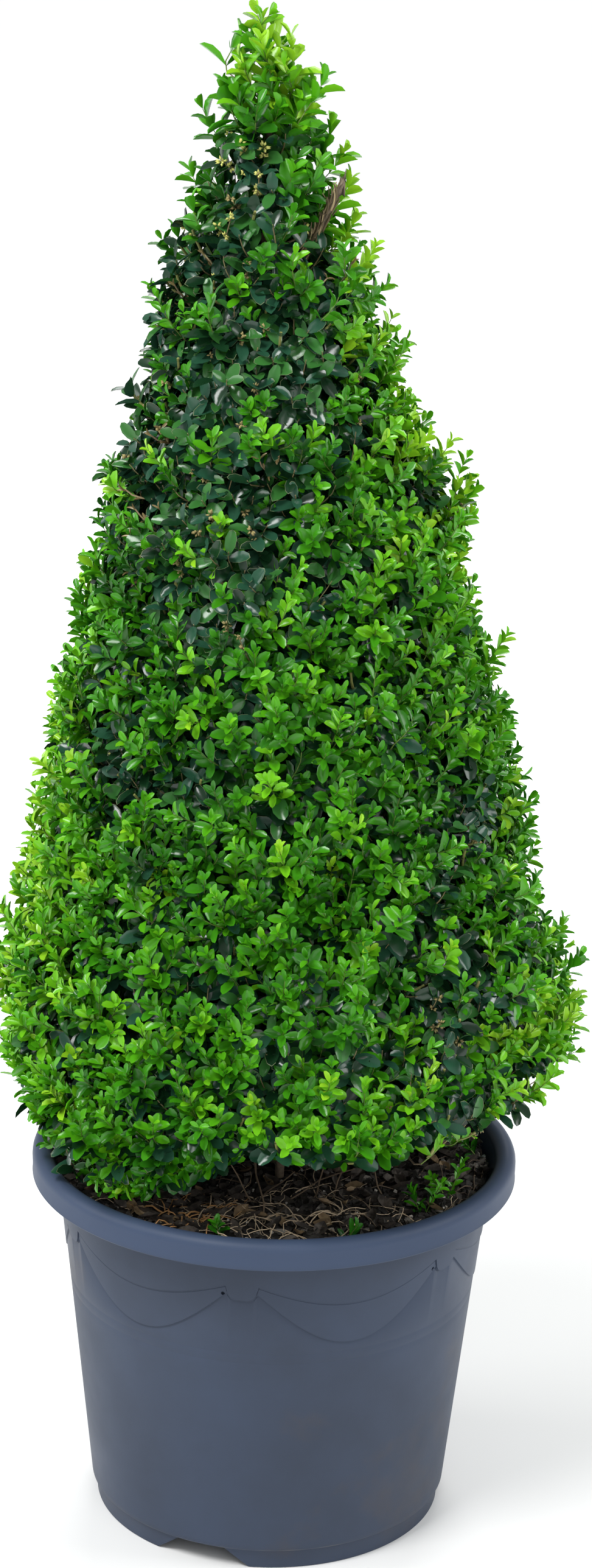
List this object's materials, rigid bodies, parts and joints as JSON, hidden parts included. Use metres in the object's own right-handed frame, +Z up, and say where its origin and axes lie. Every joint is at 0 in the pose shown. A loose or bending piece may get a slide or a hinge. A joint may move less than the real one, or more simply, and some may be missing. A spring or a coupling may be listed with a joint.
{
  "type": "boxwood cone topiary in a pot",
  "caption": "Boxwood shrub clipped into a leaning cone with a loose tip, rooted in potting soil in a round slate-grey plastic pot with a rolled rim and a notched foot.",
  "frame": {"origin": "on the pot's axis, at the level the pot stands on", "axes": "+Z up along the pot's axis; -Y is the front that the plant is seen from; +X is to the right seen from the front"},
  "size_m": [0.5002, 0.4874, 1.308],
  "materials": {
    "pot_plastic": "moulded slate-grey plastic, satin, with faint scuffs and dust",
    "potting_soil": "damp dark potting soil with bark bits, dry leaves and fine roots, matte",
    "bark": "thin tan-brown bark that cracks and peels in flakes, matte",
    "green_bark": "young green-brown bark, matte",
    "foliage": "small leathery leaves with a waxy sheen"
  },
  "bodies": {
    "root": {"pot": "pot_plastic", "potting_soil": "potting_soil", "trunk": "bark", "stem_1": "green_bark", "stem_2": "green_bark", "stem_3": "green_bark", "stem_4": "green_bark", "stem_5": "green_bark", "stem_6": "green_bark", "upper_bough": "bark", "foliage_low_1": "foliage", "foliage_low_2": "foliage", "foliage_low_3": "foliage", "foliage_low_4": "foliage", "foliage_low_5": "foliage", "foliage_low_6": "foliage", "foliage_middle": "foliage", "foliage_shoulder": "foliage", "foliage_upper": "foliage", "foliage_tip": "foliage"}
  },
  "joints": []
}
